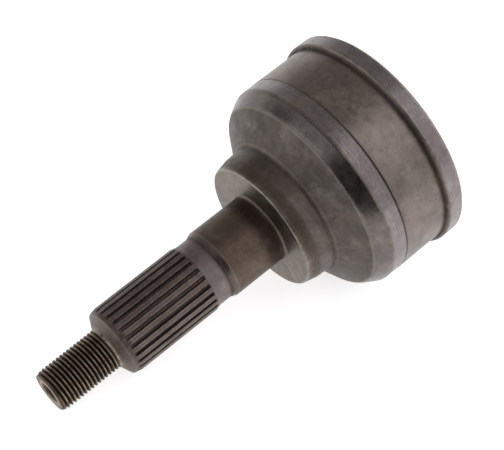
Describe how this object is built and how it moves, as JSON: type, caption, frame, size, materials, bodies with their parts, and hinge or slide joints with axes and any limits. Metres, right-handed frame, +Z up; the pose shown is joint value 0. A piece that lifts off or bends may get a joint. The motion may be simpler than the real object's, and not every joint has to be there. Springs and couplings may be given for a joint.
{
  "type": "constant velocity joint",
  "caption": "Fixed ball constant velocity joint: a steel bell with a splined, threaded stub axle, holding an inner race, cage and balls.",
  "frame": {"origin": "the joint centre, where the stub's axis and the drive shaft's axis cross, which is also the middle of the drive shaft's splined bore", "axes": "+X along the axis out of the bell's mouth, -X along the stub axle to its threaded tip, +Z up through one ball"},
  "size_m": [0.1533, 0.0872, 0.0872],
  "materials": {
    "phosphated_forging": "dark brown-grey phosphated and oiled forging with turned and induction-stained bands",
    "ground_steel": "ground and hardened steel",
    "case_hardened_steel": "case hardened steel, dark between ground faces",
    "bearing_ball": "polished bearing steel",
    "spring_wire": "oiled round spring wire"
  },
  "bodies": {
    "outer_race": {"outer_race": "phosphated_forging"},
    "inner_race": {"inner_race": "ground_steel", "circlip": "spring_wire"},
    "ball_cage": {"ball_cage": "case_hardened_steel"},
    "ball_1": {"ball_1": "bearing_ball"},
    "ball_2": {"ball_2": "bearing_ball"},
    "ball_3": {"ball_3": "bearing_ball"},
    "ball_4": {"ball_4": "bearing_ball"},
    "ball_5": {"ball_5": "bearing_ball"},
    "ball_6": {"ball_6": "bearing_ball"}
  },
  "joints": [
    {"name": "articulation", "type": "hinge", "parent": "outer_race", "child": "inner_race", "pos_m": [0, 0, 0], "axis": [0, 1, 0], "range_deg": [-45, 45]},
    {"name": "cage_tilt", "type": "hinge", "parent": "outer_race", "child": "ball_cage", "pos_m": [0, 0, 0], "axis": [0, 1, 0], "range_deg": [-22.5, 22.5]},
    {"name": "ball_1_roll", "type": "hinge", "parent": "outer_race", "child": "ball_1", "pos_m": [0.003, 0, 0], "axis": [0, 1, 0], "range_deg": [-22.5, 22.5]},
    {"name": "ball_2_roll", "type": "hinge", "parent": "outer_race", "child": "ball_2", "pos_m": [0.003, 0, 0], "axis": [0, 0.5, -0.866], "range_deg": [-11.75, 11.75]},
    {"name": "ball_3_roll", "type": "hinge", "parent": "outer_race", "child": "ball_3", "pos_m": [0.003, 0, 0], "axis": [0, -0.5, -0.866], "range_deg": [-11.75, 11.75]},
    {"name": "ball_4_roll", "type": "hinge", "parent": "outer_race", "child": "ball_4", "pos_m": [0.003, 0, 0], "axis": [0, -1, 0], "range_deg": [-22.5, 22.5]},
    {"name": "ball_5_roll", "type": "hinge", "parent": "outer_race", "child": "ball_5", "pos_m": [0.003, 0, 0], "axis": [0, -0.5, 0.866], "range_deg": [-11.75, 11.75]},
    {"name": "ball_6_roll", "type": "hinge", "parent": "outer_race", "child": "ball_6", "pos_m": [0.003, 0, 0], "axis": [0, 0.5, 0.866], "range_deg": [-11.75, 11.75]}
  ],
  "couplings": [
    {"joint": "cage_tilt", "follows": "articulation", "ratio": 0.5},
    {"joint": "ball_1_roll", "follows": "articulation", "ratio": 0.5},
    {"joint": "ball_2_roll", "follows": "articulation", "ratio": 0.26},
    {"joint": "ball_3_roll", "follows": "articulation", "ratio": -0.26},
    {"joint": "ball_4_roll", "follows": "articulation", "ratio": -0.5},
    {"joint": "ball_5_roll", "follows": "articulation", "ratio": -0.26},
    {"joint": "ball_6_roll", "follows": "articulation", "ratio": 0.26}
  ]
}
